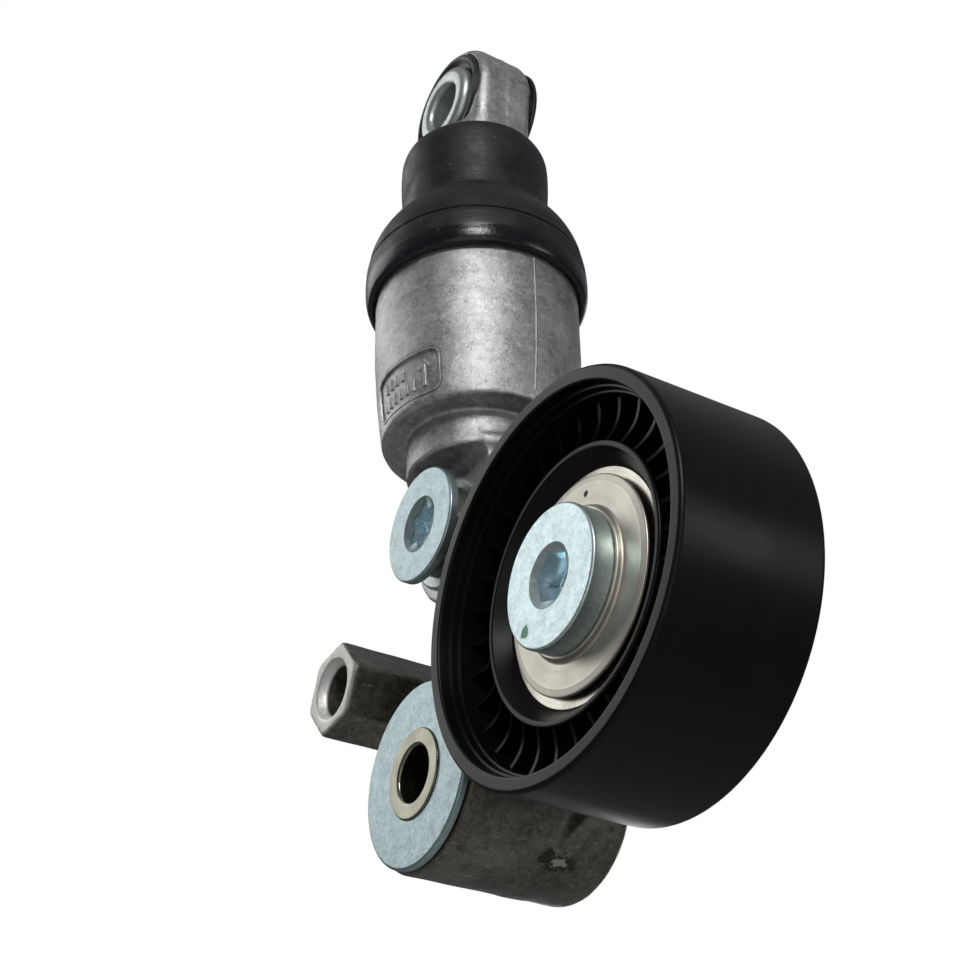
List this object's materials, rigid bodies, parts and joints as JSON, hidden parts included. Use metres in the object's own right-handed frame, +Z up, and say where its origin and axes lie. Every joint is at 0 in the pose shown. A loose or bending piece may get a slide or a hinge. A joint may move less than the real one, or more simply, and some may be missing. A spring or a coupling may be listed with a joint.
{
  "type": "belt tensioner idler",
  "caption": "Hydraulic belt tensioner: a cast lever on a bushed pivot carries a ribbed idler pulley on a ball bearing and a booted spring strut with a top eye.",
  "frame": {"origin": "centre of the pivot sleeve's front end", "axes": "+Z up along the strut, +Y from the front to the engine along every pivot axis, +X towards the pulley"},
  "size_m": [0.1301, 0.0557, 0.187],
  "materials": {
    "machined_steel": "satin",
    "zinc_plate": "satin",
    "arm_casting": "matte",
    "bush_liner": "matte",
    "seal_rubber": "matte",
    "shield_steel": "satin",
    "bearing_steel": "polished",
    "pulley_nylon": "semi-gloss",
    "bearing_seal": "matte",
    "cage_nylon": "matte",
    "strut_casting": "satin",
    "black_bush": "matte",
    "hydraulic_steel": "ground",
    "rod_guide_bronze": "sintered",
    "spring_wire": "phosphated",
    "boot_rubber": "matte"
  },
  "bodies": {
    "pivot_mount": {"pivot_sleeve": "machined_steel", "pivot_washer_front": "zinc_plate", "pivot_washer_rear": "zinc_plate"},
    "arm": {"lever_arm": "arm_casting", "pivot_bush_front": "bush_liner", "pivot_bush_rear": "bush_liner", "pivot_seal_front": "seal_rubber", "pivot_seal_rear": "seal_rubber", "pulley_bolt": "zinc_plate", "dust_shield_front": "shield_steel", "dust_shield_rear": "shield_steel", "bearing_inner_ring": "bearing_steel", "strut_bolt": "zinc_plate", "strut_bolt_sleeve": "machined_steel"},
    "pulley": {"pulley_wheel": "pulley_nylon", "bearing_outer_ring": "bearing_steel", "bearing_seal_front": "bearing_seal", "bearing_seal_rear": "bearing_seal"},
    "ball_cage": {"bearing_cage": "cage_nylon", "bearing_balls": "bearing_steel"},
    "strut": {"strut_housing": "strut_casting", "strut_bush": "zinc_plate", "pressure_cylinder": "hydraulic_steel", "rod_guide": "rod_guide_bronze", "check_valve_seat": "hydraulic_steel", "check_valve_ball": "bearing_steel", "check_valve_cage": "hydraulic_steel", "check_valve_spring": "spring_wire", "spring_seat_lower": "hydraulic_steel", "main_spring": "spring_wire", "boot": "boot_rubber"},
    "plunger": {"top_eye": "strut_casting", "eye_bush": "black_bush", "piston_rod": "hydraulic_steel", "piston": "hydraulic_steel", "spring_seat_upper": "hydraulic_steel"},
    "top_sleeve": {"eye_sleeve": "zinc_plate"}
  },
  "joints": [
    {"name": "arm_pivot", "type": "hinge", "parent": "pivot_mount", "child": "arm", "pos_m": [0, 0.0185, 0], "axis": [0, 1, 0], "range_deg": [-22, 12]},
    {"name": "pulley_spin", "type": "hinge", "parent": "arm", "child": "pulley", "pos_m": [0.057, 0.004, 0.01], "axis": [0, 1, 0], "continuous": true},
    {"name": "cage_spin", "type": "hinge", "parent": "arm", "child": "ball_cage", "pos_m": [0.057, 0.004, 0.01], "axis": [0, 1, 0], "continuous": true},
    {"name": "strut_pivot", "type": "hinge", "parent": "arm", "child": "strut", "pos_m": [0.018, 0.004, 0.04], "axis": [0, 1, 0], "range_deg": [-20, 20]},
    {"name": "strut_slide", "type": "slide", "parent": "strut", "child": "plunger", "axis": [0, 0, 1], "range_m": [-0.012, 0], "stiffness_N_per_m": 6000, "springref_m": 0.02, "deforming": ["boot", "main_spring"]},
    {"name": "eye_twist", "type": "hinge", "parent": "plunger", "child": "top_sleeve", "pos_m": [0.018, 0.004, 0.148], "axis": [0, 1, 0], "range_deg": [-15, 15], "stiffness_Nm_per_rad": 1}
  ],
  "couplings": [
    {"joint": "cage_spin", "follows": "pulley_spin", "ratio": 0.618}
  ]
}
